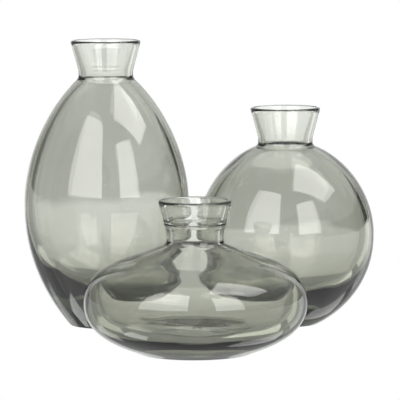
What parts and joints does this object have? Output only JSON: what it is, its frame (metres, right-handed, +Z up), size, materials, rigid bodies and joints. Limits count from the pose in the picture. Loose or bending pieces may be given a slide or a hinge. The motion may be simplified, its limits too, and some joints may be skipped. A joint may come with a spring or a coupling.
{
  "type": "glass bud vase set",
  "caption": "Smoked glass bud vases in tall, round and squat shapes, each with a flared neck, narrow throat, hollow belly and thick solid base.",
  "frame": {"origin": "middle of the set's footprint, on the surface the vases stand on", "axes": "+Z up along every vase's own axis; +X from the tall vase to the round one; +Y from the squat vase in front to the two at the back"},
  "size_m": [0.201, 0.2188, 0.164],
  "materials": {
    "tall_glass": "clear, smoke grey, fire-polished",
    "round_glass": "clear, smoke grey, fire-polished",
    "squat_glass": "clear, smoke grey, fire-polished"
  },
  "bodies": {
    "tall_vase": {"tall_vase": "tall_glass"},
    "round_vase": {"round_vase": "round_glass"},
    "squat_vase": {"squat_vase": "squat_glass"}
  },
  "joints": [
    {"name": "round_vase_lift", "type": "slide", "parent": "tall_vase", "child": "round_vase", "axis": [0, 0, 1], "range_m": [0, 0.075]},
    {"name": "squat_vase_lift", "type": "slide", "parent": "tall_vase", "child": "squat_vase", "axis": [0, 0, 1], "range_m": [0, 0.1]}
  ]
}
